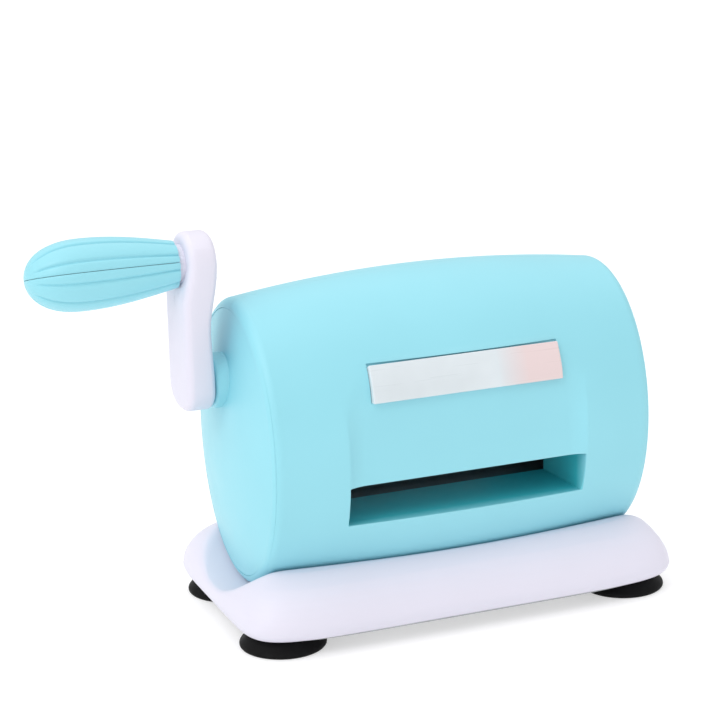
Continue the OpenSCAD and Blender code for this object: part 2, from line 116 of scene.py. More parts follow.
# The feed slot, and the flat panel over it
SLOT_HALF = 40.0
SLOT_FLOOR = AXIS_Z - 20.2
SLOT_ROOF = SLOT_FLOOR + 12.7
SLOT_END = 11.0
SLOT_TAPER = 2.0
SLOT_SIDE_Y = 39.4
PANEL_Y = 36.5
PANEL_LEAN = 0.048
PANEL_ROUND = 6.0
PANEL_CLIMB = 2.2
# The label strip: LABEL_X is (its middle, half its length)
LABEL_DROP = 0.2
LABEL_X = (0.4, (LABEL_HIGH.x - LABEL_LOW.x) / 2 - 0.2)
LABEL_GAP = 0.16
LABEL_STAND = 0.5
LABEL_PROUD = 1.7
LABEL_THICK = 2.3
LABEL_BED = 0.1
# The crank's arm, with (half-width, half-height) of each of its ends, and the grip
ARM_HUB = (10.3, 8.2)
ARM_TIP = (10.0, 9.6)
ARM_BLUNT = 2.25
ARM_SOFT = 2.3
ARM_MIDDLE = 8.0
ARM_STRAIGHT = 10
GRIP_MAX = 11.0
GRIP_ROOT = 7.3
GRIP_PEAK = 0.62
GRIP_LAP = 0.9
GRIP_GAP = 0.16
GRIP_BORE = 3.7
GRIP_STEP = 0.01
# Tolerances for picking corners and faces, and for joining corners that meet
NEAR = 0.01
JOIN = 1e-4


# ---- Settings that a user would change ----

class DieCutterColours(bpy.types.PropertyGroup):
    barrel: bpy.props.FloatVectorProperty(
        name="Barrel", description="Colour of the barrel, its caps and the grip",
        subtype="COLOR", size=3, min=0, max=1, default=(0.285, 0.67, 0.77))
    # Slot: colour of the painted shade deep inside the feed slot, darker than the barrel's own
    # colour to stand in for the shade there.
    slot: bpy.props.FloatVectorProperty(
        name="Slot", description="Colour deep inside the feed slot",
        subtype="COLOR", size=3, min=0, max=1, default=(0.05, 0.50, 0.57))
    base: bpy.props.FloatVectorProperty(
        name="Base", description="Colour of the base and the crank arm",
        subtype="COLOR", size=3, min=0, max=1, default=(0.74, 0.715, 0.82))
    label: bpy.props.FloatVectorProperty(
        name="Label", description="Colour of the label strip",
        subtype="COLOR", size=3, min=0, max=1, default=(0.68, 0.735, 0.77))
    label_tint: bpy.props.FloatVectorProperty(
        name="Label tint", description="Colour that the label fades to at its right end",
        subtype="COLOR", size=3, min=0, max=1, default=(0.76, 0.61, 0.61))
    rubber: bpy.props.FloatVectorProperty(
        name="Feet", description="Colour of the suction feet",
        subtype="COLOR", size=3, min=0, max=1, default=(0.004, 0.004, 0.0045))
    floor: bpy.props.FloatVectorProperty(
        name="Floor", description="Colour of the studio floor",
        subtype="COLOR", size=3, min=0, max=1, default=(0.6, 0.6, 0.6))


class DieCutterSizes(bpy.types.PropertyGroup):
    panel_soft: bpy.props.FloatProperty(
        name="Panel side", description="Softness of the edge down each side of a flat panel",
        unit="LENGTH", min=0.0001, max=0.003, default=0.0005)
    panel_blend: bpy.props.FloatProperty(
        name="Panel top", description="Softness of the line where a flat panel runs out at its top",
        unit="LENGTH", min=0.0001, max=0.006, default=0.0024)
    grip_groove: bpy.props.FloatProperty(
        name="Grip groove", description="Depth of the grooves along the grip",
        unit="LENGTH", min=0, max=0.002, default=0.0005)
    grip_lobes: bpy.props.IntProperty(
        name="Grip lobes", description="Number of lobes round the grip",
        min=4, max=20, default=10)
    grip_seam: bpy.props.FloatProperty(
        name="Grip seam", description="Tilt of the parting line between the grip's halves",
        subtype="ANGLE", min=0, max=1.2, default=math.radians(17))


def sizes():
    return bpy.context.scene.die_cutter_sizes


def colours():
    return bpy.context.scene.die_cutter_colours


# ---- Shared mesh work: everything is shaped in millimetres round the barrel's middle ----

def spaced(stops):
    """Values from a list of (value, step to the next) pairs, evenly spread between the stops."""
    out = []
    for (a, step), (b, _) in zip(stops, stops[1:]):
        count = max(1, round(abs(b - a) / step))
        out += [a + (b - a) * i / count for i in range(count)]
    return out + [stops[-1][0]]


def lattice(us, vs, shape):
    """A grid of faces whose corners lie at shape(u, v)."""
    bm = bmesh.new()
    bmesh.ops.create_grid(bm, x_segments=len(us) - 1, y_segments=len(vs) - 1, size=0.5)
    for vert in bm.verts:
        i = round((vert.co.x + 0.5) * (len(us) - 1))
        j = round((vert.co.y + 0.5) * (len(vs) - 1))
        vert.co = shape(us[i], vs[j])
    return bm


def turned(profile, steps, axis="X"):
    """A (along, radius) profile spun all the way round an axis through the origin."""
    bm = bmesh.new()
    if axis == "X":
        points = [Vector((a, 0, r)) for a, r in profile]
    else:
        points = [Vector((r, 0, a)) for a, r in profile]
    chain = [bm.verts.new(p) for p in points]
    edges = [bm.edges.new(pair) for pair in zip(chain, chain[1:])]
    direction = (1, 0, 0) if axis == "X" else (0, 0, 1)
    bmesh.ops.spin(bm, geom=chain + edges, cent=(0, 0, 0), axis=direction,
                   angle=math.tau, steps=steps, use_merge=True)
    bmesh.ops.remove_doubles(bm, verts=bm.verts, dist=JOIN)
    bmesh.ops.recalc_face_normals(bm, faces=bm.faces)
    return bm


def smooth_step(a, b, t):
    t = max(0, min(1, (t - a) / (b - a)))
    return t * t * (3 - 2 * t)


def soft_min(a, b, soft):
    gap = max(soft - abs(a - b), 0) / soft
    return min(a, b) - gap * gap * soft / 4


def blunt(turn, power, long, wide):
    """A point round an oval whose ends get squarer as the power rises past 2."""
    c, s = math.cos(turn), math.sin(turn)
    return (math.copysign(abs(c) ** (2 / power), c) * long,
            math.copysign(abs(s) ** (2 / power), s) * wide)


def ring_of(bm, count):
    """A loop of corners in order round the Z axis, each to be placed."""
    verts = bmesh.ops.create_circle(bm, segments=count, radius=1)["verts"]
    return sorted(verts, key=lambda v: math.atan2(v.co.y, v.co.x) % math.tau)


def next_ring(bm, order, ring):
    """Draws a new loop out of the last one, and gives its corners in the same order."""
    made = bmesh.ops.extrude_edge_only(bm, edges=ring)["geom"]
    edges = [e for e in made if isinstance(e, bmesh.types.BMEdge) and e.is_boundary]
    last = set(order)
    follow = {}
    for vert in made:
        if isinstance(vert, bmesh.types.BMVert):
            for edge in vert.link_edges:
                if edge.other_vert(vert) in last:
                    follow[edge.other_vert(vert)] = vert
    return [follow[v] for v in order], edges


def soften(bm, near, rounds):
    """Smooths the corners that near(co) picks, a number of rounds."""
    verts = [v for v in bm.verts if near(v.co)]
    for _ in range(rounds):
        bmesh.ops.smooth_vert(bm, verts=verts, factor=0.5, use_axis_x=True,
                              use_axis_y=True, use_axis_z=True)


def finish_piece(name, bm, material, body, nodes, sharp=40):
    """Makes the object, moves its mesh into the frame, and ties it to the frame."""
    bmesh.ops.transform(bm, verts=bm.verts,
                        matrix=Matrix.Scale(MM, 4) @ Matrix.Translation((MIDDLE_X, 0, 0)))
    mesh = bpy.data.meshes.new(name)
    bm.to_mesh(mesh)
    bm.free()
    mesh.shade_smooth()
    mesh.set_sharp_from_angle(angle=math.radians(sharp))
    mesh.materials.append(material)
    piece = bpy.data.objects.new(name, mesh)
    bpy.context.scene.collection.objects.link(piece)
    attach(piece, body)
    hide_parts(*nodes)
    return piece


# ---- The barrel's surface ----

def crown_radius(x):
    return MID_R - CROWN * (x / HALF_LEN) ** 2


RIM_START = HALF_LEN - RIM_ROUND
RIM_ANGLE = math.acos((CAP_R - crown_radius(RIM_START) + RIM_ROUND) / RIM_ROUND)
RIM_ARC = RIM_ROUND * RIM_ANGLE


def rim_profile(u):
    """(x, radius) at u along the barrel's skin, over the rim and into the cap's seat."""
    side, u = math.copysign(1, u), abs(u)
    if u <= RIM_START:
        return side * u, crown_radius(u)
    angle = min((u - RIM_START) / RIM_ROUND, RIM_ANGLE)
    x = RIM_START + RIM_ROUND * math.sin(angle)
    radius = crown_radius(RIM_START) - RIM_ROUND * (1 - math.cos(angle))
    return side * (x - max(0, u - RIM_START - RIM_ARC)), radius


def panel_plane(z):
    """Depth of a flat panel at a height. It leans back a little towards its top."""
    return PANEL_Y - (z - SLOT_ROOF) * PANEL_LEAN


def panel_cut(x, z):
    """Depth of the panel and of its hollow side rounds. Well past those it cuts nothing."""
    flat = panel_plane(z)
    past = (abs(x) - SLOT_HALF + PANEL_ROUND) / PANEL_ROUND
    if past <= 0:
        return flat
    rise = math.sqrt(max(0, crown_radius(SLOT_HALF) ** 2 - (z - AXIS_Z) ** 2)) * SQUASH - flat
    return flat + max(rise, 0.0) * past ** PANEL_CLIMB + (MID_R if past > 1.25 else 0)


def barrel_point(u, turn):
    """A point of the barrel's skin: u along it, turn radians round from the top to the front."""
    x, radius = rim_profile(u)
    depth = SQUASH * radius * math.sin(turn)
    z = AXIS_Z + radius * math.cos(turn)
    if SLOT_ROOF - NEAR < z and abs(x) < SLOT_HALF + 2:
        side = smooth_step(SLOT_HALF - PANEL_ROUND, SLOT_HALF, abs(x))
        soft = sizes().panel_blend + (sizes().panel_soft - sizes().panel_blend) * side
        depth = soft_min(depth, panel_cut(x, z), soft / MM)
    return Vector((x, -depth, z))


def turn_at(u, z):
    radius = rim_profile(u)[1]
    return math.acos(max(-1, min(1, (z - AXIS_Z) / radius)))


def between(stops, v, u):
    """The turn at v, where the stops are heights, or None at the barrel's top and bottom."""
    i = min(int(v), len(stops) - 2)
    a, b = (turn_at(u, z) if z is not None else (0 if k == 0 else math.pi)
            for k, z in ((i, stops[i]), (i + 1, stops[i + 1])))
    return a + (b - a) * (v - i)


def label_depth(z):
    """Depth of the label's face, which runs straight along X and stands proud of the panel."""
    skin = SQUASH * math.sqrt((MID_R + LABEL_STAND) ** 2 - (z - AXIS_Z) ** 2)
    return soft_min(skin, panel_plane(z) + LABEL_PROUD, 1.0)


def barrel_stations():
    """Distances along the barrel for its rows of corners, close together at every edge."""
    left, right = (LABEL_X[0] + side * (LABEL_X[1] + LABEL_GAP) for side in (-1, 1))
    end = RIM_START + RIM_ARC
    out = [(end + SEAT_DEEP, 1.0), (end, 0.45), (RIM_START, 2.0), (44, 0.5), (41, 0.2),
           (SLOT_HALF, 0.2), (39, 0.4)]
    back = [(out[k][0], out[k - 1][1]) for k in range(6, -1, -1)]
    return spaced([(-u, step) for u, step in out] + [(left, 1.6), (right, 0.4)] + back)


def shell_mesh(with_label):
    """One half of the barrel's housing, made as the front half."""
    top = LABEL_HIGH.z - LABEL_DROP + LABEL_GAP
    low = LABEL_LOW.z - LABEL_DROP - LABEL_GAP
    stops = [None, top, low, SLOT_ROOF, SLOT_FLOOR, None]
    vs = spaced([(0, 0.006), (0.006, 0.045), (1, 0.03), (2, 0.045), (3, 0.12), (4, 0.012),
                 (4.12, 0.02), (4.22, 0.045), (4.994, 0.006), (5, 1)])
    bm = lattice(barrel_stations(), vs, lambda u, v: barrel_point(u, between(stops, v, u)))
    bm.normal_update()
    mouth, pocket = [], []
    for face in bm.faces:
        spot = face.calc_center_median()
        if (abs(spot.x) < SLOT_HALF and spot.y < 0 and SLOT_FLOOR < spot.z < SLOT_ROOF
                and abs(face.normal.x) < 0.99):
            mouth.append(face)
        elif (abs(spot.x - LABEL_X[0]) < LABEL_X[1] + LABEL_GAP and low < spot.z < top
                and spot.y < -20):
            pocket.append(face)
    bmesh.ops.delete(bm, geom=mouth, context="FACES")
    if with_label:
        sunk = bmesh.ops.extrude_face_region(bm, geom=pocket)
        for vert in sunk["geom"]:
            if isinstance(vert, bmesh.types.BMVert):
                vert.co.y = LABEL_THICK + LABEL_BED - label_depth(vert.co.z)
        bmesh.ops.delete(bm, geom=pocket, context="FACES")
    line_mouth(bm)
    return bm


def in_mouth(spot):
    return (abs(spot.x) < SLOT_HALF + NEAR and spot.y < -30
            and SLOT_FLOOR - NEAR < spot.z < SLOT_ROOF + NEAR)


def line_mouth(bm):
    """Draws the feed slot's walls in from the edge of its mouth, a little narrower inside."""
    ring = [e for e in bm.edges if e.is_boundary and all(in_mouth(v.co) for v in e.verts)]
    order = list(dict.fromkeys(v for e in ring for v in e.verts))
    starts = [v.co.copy() for v in order]
    for share in (0.012, 0.024, 0.037, 0.05, 0.065, 0.085, 0.12, 0.2, 0.4, 0.7, 1.0):
        order, ring = next_ring(bm, order, ring)
        for vert, start in zip(order, starts):
            y = start.y + (-SLOT_END - start.y) * share
            past = max(0, (y + SLOT_SIDE_Y) / (SLOT_SIDE_Y - SLOT_END))
            vert.co = (start.x * (1 - SLOT_TAPER / SLOT_HALF * past), y, start.z)


def soften_mouth(bm):
    """Rolls the slot's floor over at its lip, and takes the sharpness off its roof."""
    bm.normal_update()
    soften(bm, lambda p: abs(p.z - SLOT_FLOOR) < 1.6 and -41 < p.y < -31
           and abs(p.x) < SLOT_HALF - 0.3, 4)
    soften(bm, lambda p: abs(p.z - SLOT_ROOF) < 0.6 and -41.5 < p.y < -35
           and abs(p.x) < SLOT_HALF - 0.3, 1)


def paint_slot_shade(piece):
    """Gives the walls inside the slot the material with painted shade, a darker colour that stands
    in for the shade deep in the slot.
    """
    piece.data.materials.append(slot_painted_shade_plastic())
    for face in piece.data.polygons:
        middle = face.center / MM
        if (abs(middle.x - MIDDLE_X) < SLOT_HALF + 5 * NEAR and abs(middle.y) < SLOT_SIDE_Y
                and SLOT_FLOOR - 5 * NEAR < middle.z < SLOT_ROOF + 5 * NEAR):
            face.material_index = 1


def close_shell(bm):
    """Parts the halves by a hair, then gives the skin its wall."""
    for vert in bm.verts:
        vert.co.y = min(vert.co.y, -SEAM_GAP)
    bmesh.ops.recalc_face_normals(bm, faces=bm.faces)
    outer = max(bm.faces, key=lambda f: f.calc_center_median().z)
    if outer.normal.z < 0:
        bmesh.ops.reverse_faces(bm, faces=bm.faces)
    bmesh.ops.solidify(bm, geom=bm.faces[:], thickness=SHELL_WALL)


def build_shell(name, node, rear):
    bm = shell_mesh(not rear)
    soften_mouth(bm)
    close_shell(bm)
    if rear:
        bmesh.ops.rotate(bm, verts=bm.verts, cent=(0, 0, 0),
                         matrix=Matrix.Rotation(math.pi, 3, "Z"))
    paint_slot_shade(finish_piece(name, bm, barrel_plastic(), "root", [node]))


# ---- Label ----

def build_label():
    """A moulded strip with a rounded edge all round."""
    us = spaced([(LABEL_X[0] - LABEL_X[1], 1.0), (LABEL_X[0] + LABEL_X[1], 1)])
    vs = spaced([(LABEL_LOW.z - LABEL_DROP, 0.5), (LABEL_HIGH.z - LABEL_DROP, 1)])
    bm = lattice(us, vs, lambda x, z: Vector((x, -label_depth(z), z)))
    bmesh.ops.recalc_face_normals(bm, faces=bm.faces)
    if bm.faces[:][0].normal.y > 0:
        bmesh.ops.reverse_faces(bm, faces=bm.faces)
    bmesh.ops.solidify(bm, geom=bm.faces[:], thickness=LABEL_THICK)
    edges = [e for e in bm.edges if e.is_manifold and e.calc_face_angle() > 1.0]
    bmesh.ops.bevel(bm, geom=edges, offset=0.42, offset_type="OFFSET", affect="EDGES",
                    segments=4, profile=0.5, material=-1, clamp_overlap=True)
    return finish_piece("label_plate", bm, label_finish(), "root",
                        ["label_strip"], sharp=60)


# ---- End caps ----

def dome_x(radius):
    return HALF_LEN - CAP_BACK + CAP_DOME * (1 - (radius / CAP_R) ** 2)


def cap_profile():
    """Half-section of an end cap: dome, a small rounded edge, skirt and hollow back."""
    edge = CAP_R - CAP_FIT
    turn_in = edge - CAP_EDGE
    profile = [(dome_x(r), r) for r in spaced([(0, 1.4), (turn_in, 1)])]
    corner = dome_x(turn_in) - CAP_EDGE
    for i in range(1, 6):
        angle = math.radians(18 * i)
        profile.append((corner + CAP_EDGE * math.cos(angle), turn_in + CAP_EDGE * math.sin(angle)))
    profile += [(SEAT_X + SEAT_GAP, edge), (SEAT_X + SEAT_GAP, edge - CAP_WALL)]
    profile += [(dome_x(r) - CAP_WALL, r) for r in spaced([(edge - CAP_WALL - 0.2, 3), (0, 1)])]
    return profile


def build_end_cap(name, side, node, boss):
    bm = turned(cap_profile(), 160)
    bmesh.ops.scale(bm, vec=(1, SQUASH, 1), verts=bm.verts)
    bmesh.ops.translate(bm, vec=(0, 0, AXIS_Z), verts=bm.verts)
    if boss:
        add_boss(bm)
    if side < 0:
        bmesh.ops.scale(bm, vec=(-1, 1, 1), verts=bm.verts)
        bmesh.ops.reverse_faces(bm, faces=bm.faces)
    return finish_piece(name, bm, barrel_plastic(), "root", [node])


def add_boss(bm):
    """The round boss that the crank's arm turns against, with a soft lip."""
    foot, face = dome_x(CRANK_Z - AXIS_Z) - 2.0, BOSS_OUT + BOSS_PROUD
    profile = [(foot, BOSS_BORE), (foot, BOSS_R)]
    for i in range(7):
        angle = math.radians(15 * i)
        profile.append((face - BOSS_LIP * (1 - math.sin(angle)),
                        BOSS_R - BOSS_LIP * (1 - math.cos(angle))))
    profile += [(face, BOSS_BORE), (foot, BOSS_BORE)]
    boss = turned(profile, 72)
    bmesh.ops.translate(boss, vec=(0, 0, CRANK_Z), verts=boss.verts)
    scrap = bpy.data.meshes.new("boss")
    boss.to_mesh(scrap)
    boss.free()
    bm.from_mesh(scrap)
    bpy.data.meshes.remove(scrap)


# ---- Base ----

BASE_POWER = 7.6
BASE_DROP = 1.6
BASE_FLOOR = BASE_LOW.z
BASE_RISE = BASE_HIGH.z - BASE_LOW.z
BASE_LONG = (BASE_HIGH.x - BASE_LOW.x) / 2
BASE_WIDE = (BASE_HIGH.y - BASE_LOW.y) / 2
BASE_CORNERS = 360
# Share of the base's height, and how far its sides have drawn in there
BASE_SIDE = [(0.0, 2.3), (0.03, 1.35), (0.07, 0.7), (0.12, 0.25), (0.18, 0.0), (0.24, 0.05),
             (0.34, 0.55), (0.45, 1.4), (0.57, 2.7), (0.70, 4.6), (0.81, 6.8), (0.92, 9.8),
             (0.97, 11.3), (1.0, 12.4), (1.02, 14.0), (1.035, 16.5), (1.045, 20.0)]
END_FLARE = 0.85
CRADLE_GAP = 0.3
RIM_SOFT = 2.6


def side_height(inset):
    """Height of the base's flared side where it has drawn in by a distance, past its widest."""
    rising = BASE_SIDE[4:]
    for (h0, d0), (h1, d1) in zip(rising, rising[1:]):
        if inset <= d1:
            return h0 + (h1 - h0) * (inset - d0) / (d1 - d0)
    return rising[-1][0]


def trough_height(x, y):
    """Height of the cradle that the barrel lies in, carried on past both its rims."""
    radius = crown_radius(min(abs(x), RIM_START)) + CRADLE_GAP
    across = 1 - (y / (SQUASH * radius)) ** 2
    if across <= 0:
        return AXIS_Z
    return AXIS_Z - radius * math.sqrt(across)


def build_base():
    """Rings climb the flared side, roll over the rim, and run down into the cradle."""
    turns = base_turns()
    bm = bmesh.new()
    order = ring_of(bm, len(turns))
    place_ring(order, turns, BASE_SIDE[0][1], BASE_FLOOR)
    bottom = bm.edges[:]
    ring = bottom
    levels = [(inset, BASE_FLOOR + BASE_RISE * share) for share, inset in BASE_SIDE[1:4]]
    levels += [(inset, None) for inset in
               spaced([(0, 0.35), (1.4, 0.5), (8, 0.4), (16, 0.9), (26, 1.6), (36, 3), (41.5, 1)])]
    for inset, height in levels:
        order, ring = next_ring(bm, order, ring)
        place_ring(order, turns, inset, height)
    bmesh.ops.contextual_create(bm, geom=ring)
    bmesh.ops.contextual_create(bm, geom=[e for e in bottom if e.is_boundary])
    bmesh.ops.recalc_face_normals(bm, faces=bm.faces)
    return finish_piece("base_body", bm, base_plastic(), "root",
                        ["base_cradle"], sharp=50)


def base_turns():
    """Angles round the base's outline, evened out so that its corners get their share."""
    fine = [math.tau * i / 4800 for i in range(4801)]
    spots = [Vector(blunt(t, BASE_POWER, BASE_LONG, BASE_WIDE)) for t in fine]
    travelled = [0.0]
    for a, b in zip(spots, spots[1:]):
        travelled.append(travelled[-1] + (b - a).length)
    out, k = [], 0
    for i in range(BASE_CORNERS):
        want = travelled[-1] * i / BASE_CORNERS
        while travelled[k + 1] < want:
            k += 1
        part = (want - travelled[k]) / max(1e-9, travelled[k + 1] - travelled[k])
        out.append(fine[k] + (fine[k + 1] - fine[k]) * part)
    return out


def place_ring(order, turns, inset, height):
    """Places a ring at a height, or where none is given on the flared side and the cradle."""
    flare = BASE_FLOOR + (BASE_RISE - BASE_DROP) * side_height(inset)
    for vert, turn in zip(order, turns):
        x, y = blunt(turn, BASE_POWER, BASE_LONG - inset * END_FLARE, BASE_WIDE - inset)
        trough = trough_height(x, y)
        z = soft_min(flare, trough, RIM_SOFT) if height is None else min(height, trough)
        vert.co = (x, y, z)


# ---- Feet ----

def foot_profile():
    """(height, radius) of a flared suction cup, with a rolled lip and a hollow underside."""
    wide = (FOOT_HIGH.x - FOOT_LOW.x) / 2
    tall = FOOT_HIGH.z
    return [(tall, 0), (tall, 6.0), (tall, wide - 3.6), (tall * 0.93, wide - 2.75),
            (tall * 0.8, wide - 2.1), (tall * 0.62, wide - 1.45), (tall * 0.45, wide - 0.8),
            (tall * 0.34, wide - 0.35), (tall * 0.25, wide - 0.08), (tall * 0.17, wide),
            (tall * 0.09, wide - 0.07), (tall * 0.03, wide - 0.3), (0, wide - 0.65),
            (0.05, wide - 1.5), (0.35, wide - 2.8), (0.9, wide - 4.6), (1.5, wide - 7.2),
            (1.8, 4.0), (1.8, 0)]


def build_foot(place):
    low, high = node_box("foot_" + place)
    bm = turned(foot_profile(), 96, axis="Z")
    middle = (low + high) / 2
    bmesh.ops.translate(bm, vec=(middle.x - MIDDLE_X, middle.y, 0), verts=bm.verts)
    return finish_piece("suction_foot_" + place, bm, rubber(), "root",
                        ["foot_" + place], sharp=60)


# ---- Crank arm ----

def arm_end(size, middle, inset, start, count):
    """Half of the arm's outline, round one end. The innermost rings close up to a line."""
    spread = 1 + 0.245 * smooth_step(ARM_SOFT, ARM_MIDDLE, inset)
    points = []
    for i in range(count):
        y, z = blunt(start + math.pi * i / (count - 1), ARM_BLUNT,
                     size[0] - inset * spread, size[1] - inset)
        points.append((y, middle + z))
    return points


def arm_outline(count, inset):
    """Points round the arm seen from its end: a blunt end at the grip and one at the crank."""
    tip = arm_end(ARM_TIP, GRIP_Z - CRANK_Z, inset, 0, count // 2 - ARM_STRAIGHT)
    hub = arm_end(ARM_HUB, 0, inset, math.pi, count // 2 - ARM_STRAIGHT)
    points = []
    for end, after in ((tip, hub[0]), (hub, tip[0])):
        points += end
        for i in range(1, ARM_STRAIGHT + 1):
            points.append(tuple(a + (b - a) * i / (ARM_STRAIGHT + 1)
                                for a, b in zip(end[-1], after)))
    return points


def arm_faces(height):
    """Outer and inner face of the arm at a height above the crank's axis, as distances out."""
    t = max(-0.25, min(1.25, height / (GRIP_Z - CRANK_Z)))
    waist = math.sin(math.pi * max(0, min(1, t))) ** 2
    outer = ARM_OUT + 1.15 - 2.3 * smooth_step(0.70, 1.02, t)
    inner = ARM_IN + 0.1 + 0.6 * waist - 2.2 * smooth_step(0.45, 1.0, t)
    return outer, inner


def arm_layers():
    """(inset, depth) of each ring, from the outer face's middle round the edge and back."""
    layers = [(inset, 0.0) for inset in (ARM_MIDDLE, 6.6, 5.1, 3.5)]
    for i in range(8):
        angle = math.pi / 2 * i / 7
        layers.append((ARM_SOFT * (1 - math.sin(angle)), 0.5 * (1 - math.cos(angle))))
    return layers + [(inset, 1 - depth) for inset, depth in reversed(layers)]


def build_arm():
    bm = bmesh.new()
    order = ring_of(bm, 96)
    layers = arm_layers()
    place_arm_ring(order, *layers[0])
    first = bm.edges[:]
    ring = first
    for layer in layers[1:]:
        order, ring = next_ring(bm, order, ring)
        place_arm_ring(order, *layer)
    bmesh.ops.contextual_create(bm, geom=ring)
    bmesh.ops.contextual_create(bm, geom=[e for e in first if e.is_boundary])
    bmesh.ops.recalc_face_normals(bm, faces=bm.faces)
    bmesh.ops.translate(bm, vec=(0, 0, CRANK_Z), verts=bm.verts)
    return finish_piece("crank_lever", bm, base_plastic(), "crank",
                        ["crank_arm"], sharp=50)


def place_arm_ring(order, inset, depth):
    """Depth 0 is the outer face and 1 the inner face, with the same rounding at both."""
    for vert, (y, z) in zip(order, arm_outline(len(order), inset)):
        outer, inner = arm_faces(z)
        if depth <= 0.5:
            x = outer - 2 * depth * ARM_SOFT
        else:
            x = inner + 2 * (1 - depth) * ARM_SOFT
        vert.co = (-x, y, z)


# ---- Collar and grip ----

def build_collar():
    """The collar behind the grip, and the pin that it turns on."""
    inner, outer = ARM_OUT - 3.0, GRIP_IN
    radius, pin, pin_end = GRIP_ROOT - 1.2, 3.2, GRIP_IN + 9.4
    profile = [(-inner, 0), (-inner, radius), (-outer + 0.35, radius),
               (-outer + 0.1, radius - 0.15), (-outer + 0.02, radius - 0.45),
               (-outer + 0.02, pin), (-pin_end + 0.4, pin), (-pin_end, pin - 0.4), (-pin_end, 0)]
    bm = turned(profile, 72)
    bmesh.ops.translate(bm, vec=(0, 0, GRIP_Z), verts=bm.verts)
    return finish_piece("grip_collar", bm, base_plastic(), "crank",
                        ["grip_spindle"], sharp=50)


def grip_radius(t):
    """Radius of the gourd-shaped grip at a share of its length from the arm."""
    if t < GRIP_PEAK:
        return GRIP_ROOT + (GRIP_MAX - GRIP_ROOT) * math.sin(math.pi / 2 * t / GRIP_PEAK)
    return GRIP_MAX * math.sqrt(max(0, 1 - ((t - GRIP_PEAK) / (1 - GRIP_PEAK)) ** 2.4))


def lobe(turn, t):
    """How far the skin sinks in the groove between two lobes."""
    off = abs(math.cos(turn * sizes().grip_lobes / 2))
    fade = 1 - smooth_step(0.90, 0.99, t)
    return (math.exp(-(off / 0.2) ** 2) + 0.45 * (1 - off) ** 2) * sizes().grip_groove / MM * fade


def grip_skin(t, turn):
    """A point of the upper half's skin, with a small round along each parting edge."""
    start = GRIP_IN - GRIP_LAP
    radius = grip_radius(t) * (1 - GRIP_GAP / 2 / GRIP_MAX) - lobe(turn, t)
    radius -= 0.28 * math.exp(-(min(turn, math.pi - turn) / 0.035) ** 2) * min(1, radius / 5)
    y, z = -math.cos(turn) * radius, math.sin(turn) * radius
    return Vector((-(start + (GRIP_OUT - start) * t), y, max(z, 0) + GRIP_GAP / 2))


def build_grip_half(name, node, flip):
    """A closed half: the skin, an end face round the pin, and a flat parting face."""
    shares = spaced([(0.0, 0.008), (0.05, 0.03), (0.85, 0.012), (0.985, 0.003), (1.0, 1)])
    turns = spaced([(0, 0.004), (0.02, 0.022), (math.pi - 0.02, 0.004), (math.pi, 1)])
    bm = lattice(shares, turns, grip_skin)
    bmesh.ops.remove_doubles(bm, verts=bm.verts, dist=JOIN)
    root = [e for e in bm.edges if e.is_boundary
            and any(abs(v.co.z - GRIP_GAP / 2) >= 2 * NEAR for v in e.verts)]
    for vert in bmesh.ops.extrude_edge_only(bm, edges=root)["geom"]:
        if isinstance(vert, bmesh.types.BMVert):
            x, y, z = vert.co
            shrink = GRIP_BORE / math.hypot(y, z)
            vert.co = (x - GRIP_STEP, y * shrink, GRIP_GAP / 2 + (z - GRIP_GAP / 2) * shrink)
    bmesh.ops.holes_fill(bm, edges=[e for e in bm.edges if e.is_boundary], sides=0)
    bmesh.ops.triangulate(bm, faces=[f for f in bm.faces if len(f.verts) > 4])
    bmesh.ops.recalc_face_normals(bm, faces=bm.faces)
    turn = (math.pi if flip else 0) - sizes().grip_seam
    bmesh.ops.rotate(bm, verts=bm.verts, cent=(0, 0, 0), matrix=Matrix.Rotation(turn, 3, "X"))
    bmesh.ops.translate(bm, vec=(0, 0, GRIP_Z), verts=bm.verts)
    return finish_piece(name, bm, barrel_plastic(), "grip", [node], sharp=40)


# ---- Finishes ----

def node_material(name):
    """(material, node tree, shader, coordinates), with no tree if the material was made before."""
    material = bpy.data.materials.get(name)
    if material:
        return material, None, None, None
    material = bpy.data.materials.new(name)
    material.use_nodes = True
    tree = material.node_tree
    return material, tree, tree.nodes["Principled BSDF"], tree.nodes.new("ShaderNodeTexCoord")


def speckle(tree, coords, scale, detail=3.0):
    noise = tree.nodes.new("ShaderNodeTexNoise")
    noise.inputs["Scale"].default_value = scale
    noise.inputs["Detail"].default_value = detail
    tree.links.new(coords.outputs["Object"], noise.inputs["Vector"])
    return noise.outputs["Fac"]


def streaks(tree, coords, stretch, detail=2.0):
    """Noise drawn out into lines across the axis with the highest stretch."""
    mapping = tree.nodes.new("ShaderNodeMapping")
    mapping.inputs["Scale"].default_value = stretch
    tree.links.new(coords.outputs["Object"], mapping.inputs["Vector"])
    noise = tree.nodes.new("ShaderNodeTexNoise")
    noise.inputs["Scale"].default_value = 1
    noise.inputs["Detail"].default_value = detail
    tree.links.new(mapping.outputs["Vector"], noise.inputs["Vector"])
    return noise.outputs["Fac"]


def position(tree, coords, axis):
    split = tree.nodes.new("ShaderNodeSeparateXYZ")
    tree.links.new(coords.outputs["Object"], split.inputs["Vector"])
    return split.outputs[axis]


def add_bump(tree, shader, height, strength, distance=0.02 * MM):
    bump = tree.nodes.new("ShaderNodeBump")
    bump.inputs["Strength"].default_value = strength
    bump.inputs["Distance"].default_value = distance
    tree.links.new(height, bump.inputs["Height"])
    tree.links.new(bump.outputs["Normal"], shader.inputs["Normal"])


def remap(tree, source, low, high, out_low, out_high):
    remap_node = tree.nodes.new("ShaderNodeMapRange")
    remap_node.inputs["From Min"].default_value = low
    remap_node.inputs["From Max"].default_value = high
    remap_node.inputs["To Min"].default_value = out_low
    remap_node.inputs["To Max"].default_value = out_high
    tree.links.new(source, remap_node.inputs["Value"])
    return remap_node.outputs["Result"]


